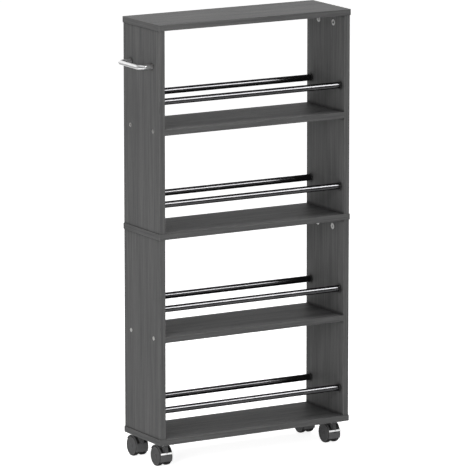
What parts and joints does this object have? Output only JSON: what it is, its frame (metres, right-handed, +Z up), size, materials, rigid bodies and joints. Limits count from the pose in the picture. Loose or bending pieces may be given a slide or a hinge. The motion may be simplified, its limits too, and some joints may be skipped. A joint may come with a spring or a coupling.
{
  "type": "rolling pantry cart",
  "caption": "Slim open storage cart in dark wood-grain board: stacked compartments with metal guard rails front and back, a side bow handle and swivel casters.",
  "frame": {"origin": "on the floor, under the centre of the bounding box, which includes the handle and the trailing wheels", "axes": "+X along the boards to the right seen from the front, +Y from the front to the back, +Z up"},
  "size_m": [0.5774, 0.1924, 1.095],
  "materials": {
    "carcass_board": "matt dark grey wood-grain foil on particle board",
    "rail_tube": "glossy black nickel",
    "socket_plastic": "moulded black",
    "handle_nickel": "satin nickel plate",
    "screw_nickel": "nickel plate",
    "screw_zinc": "bright zinc plate",
    "cam_zinc": "cast zinc alloy",
    "dowel_beech": "plain beech",
    "plate_steel": "zinc plate",
    "steel_pin": "turned steel",
    "caster_plastic": "moulded nylon",
    "hub_plastic": "moulded nylon",
    "tyre_rubber": "soft tread",
    "pedal_plastic": "light grey moulding"
  },
  "bodies": {
    "carcass": {"top_board": "carcass_board", "middle_board": "carcass_board", "bottom_board": "carcass_board", "upper_shelf": "carcass_board", "lower_shelf": "carcass_board", "upper_left_panel": "carcass_board", "upper_right_panel": "carcass_board", "lower_left_panel": "carcass_board", "lower_right_panel": "carcass_board", "upper_shelf_front_rail": "rail_tube", "upper_shelf_back_rail": "rail_tube", "middle_board_front_rail": "rail_tube", "middle_board_back_rail": "rail_tube", "lower_shelf_front_rail": "rail_tube", "lower_shelf_back_rail": "rail_tube", "bottom_board_front_rail": "rail_tube", "bottom_board_back_rail": "rail_tube", "rail_sockets": "socket_plastic", "rail_socket_screws": "screw_zinc", "handle": "handle_nickel", "handle_screws": "screw_zinc", "shelf_screws": "screw_nickel", "base_screws": "screw_nickel", "middle_screws": "screw_nickel", "cam_locks": "cam_zinc", "cam_bolts": "screw_zinc", "wood_dowels": "dowel_beech", "caster_stems": "steel_pin", "caster_plate_screws": "screw_zinc", "front_left_plate": "plate_steel", "front_right_plate": "plate_steel", "back_left_plate": "plate_steel", "back_right_plate": "plate_steel"},
    "front_left_caster": {"front_left_body": "caster_plastic", "front_left_axle": "steel_pin"},
    "front_left_left_wheel": {"front_left_left_hub": "hub_plastic", "front_left_left_tyre": "tyre_rubber"},
    "front_left_right_wheel": {"front_left_right_hub": "hub_plastic", "front_left_right_tyre": "tyre_rubber"},
    "front_left_pedal": {"front_left_brake_pedal": "pedal_plastic"},
    "front_right_caster": {"front_right_body": "caster_plastic", "front_right_axle": "steel_pin"},
    "front_right_left_wheel": {"front_right_left_hub": "hub_plastic", "front_right_left_tyre": "tyre_rubber"},
    "front_right_right_wheel": {"front_right_right_hub": "hub_plastic", "front_right_right_tyre": "tyre_rubber"},
    "front_right_pedal": {"front_right_brake_pedal": "pedal_plastic"},
    "back_left_caster": {"back_left_body": "caster_plastic", "back_left_axle": "steel_pin"},
    "back_left_left_wheel": {"back_left_left_hub": "hub_plastic", "back_left_left_tyre": "tyre_rubber"},
    "back_left_right_wheel": {"back_left_right_hub": "hub_plastic", "back_left_right_tyre": "tyre_rubber"},
    "back_right_caster": {"back_right_body": "caster_plastic", "back_right_axle": "steel_pin"},
    "back_right_left_wheel": {"back_right_left_hub": "hub_plastic", "back_right_left_tyre": "tyre_rubber"},
    "back_right_right_wheel": {"back_right_right_hub": "hub_plastic", "back_right_right_tyre": "tyre_rubber"}
  },
  "joints": [
    {"name": "front_left_swivel", "type": "hinge", "parent": "carcass", "child": "front_left_caster", "pos_m": [-0.22175, -0.06675, 0.05], "axis": [0, 0, 1], "continuous": true},
    {"name": "front_left_left_roll", "type": "hinge", "parent": "front_left_caster", "child": "front_left_left_wheel", "pos_m": [-0.22175, -0.04975, 0.025], "axis": [1, 0, 0], "continuous": true},
    {"name": "front_left_right_roll", "type": "hinge", "parent": "front_left_caster", "child": "front_left_right_wheel", "pos_m": [-0.22175, -0.04975, 0.025], "axis": [1, 0, 0], "continuous": true},
    {"name": "front_left_brake", "type": "hinge", "parent": "front_left_caster", "child": "front_left_pedal", "pos_m": [-0.22175, -0.06215, 0.02891], "axis": [1, 0, 0], "range_deg": [0, 8]},
    {"name": "front_right_swivel", "type": "hinge", "parent": "carcass", "child": "front_right_caster", "pos_m": [0.25925, -0.06675, 0.05], "axis": [0, 0, 1], "continuous": true},
    {"name": "front_right_left_roll", "type": "hinge", "parent": "front_right_caster", "child": "front_right_left_wheel", "pos_m": [0.25925, -0.04975, 0.025], "axis": [1, 0, 0], "continuous": true},
    {"name": "front_right_right_roll", "type": "hinge", "parent": "front_right_caster", "child": "front_right_right_wheel", "pos_m": [0.25925, -0.04975, 0.025], "axis": [1, 0, 0], "continuous": true},
    {"name": "front_right_brake", "type": "hinge", "parent": "front_right_caster", "child": "front_right_pedal", "pos_m": [0.25925, -0.06215, 0.02891], "axis": [1, 0, 0], "range_deg": [0, 8]},
    {"name": "back_left_swivel", "type": "hinge", "parent": "carcass", "child": "back_left_caster", "pos_m": [-0.22175, 0.05425, 0.05], "axis": [0, 0, 1], "continuous": true},
    {"name": "back_left_left_roll", "type": "hinge", "parent": "back_left_caster", "child": "back_left_left_wheel", "pos_m": [-0.22175, 0.07125, 0.025], "axis": [1, 0, 0], "continuous": true},
    {"name": "back_left_right_roll", "type": "hinge", "parent": "back_left_caster", "child": "back_left_right_wheel", "pos_m": [-0.22175, 0.07125, 0.025], "axis": [1, 0, 0], "continuous": true},
    {"name": "back_right_swivel", "type": "hinge", "parent": "carcass", "child": "back_right_caster", "pos_m": [0.25925, 0.05425, 0.05], "axis": [0, 0, 1], "continuous": true},
    {"name": "back_right_left_roll", "type": "hinge", "parent": "back_right_caster", "child": "back_right_left_wheel", "pos_m": [0.25925, 0.07125, 0.025], "axis": [1, 0, 0], "continuous": true},
    {"name": "back_right_right_roll", "type": "hinge", "parent": "back_right_caster", "child": "back_right_right_wheel", "pos_m": [0.25925, 0.07125, 0.025], "axis": [1, 0, 0], "continuous": true}
  ]
}
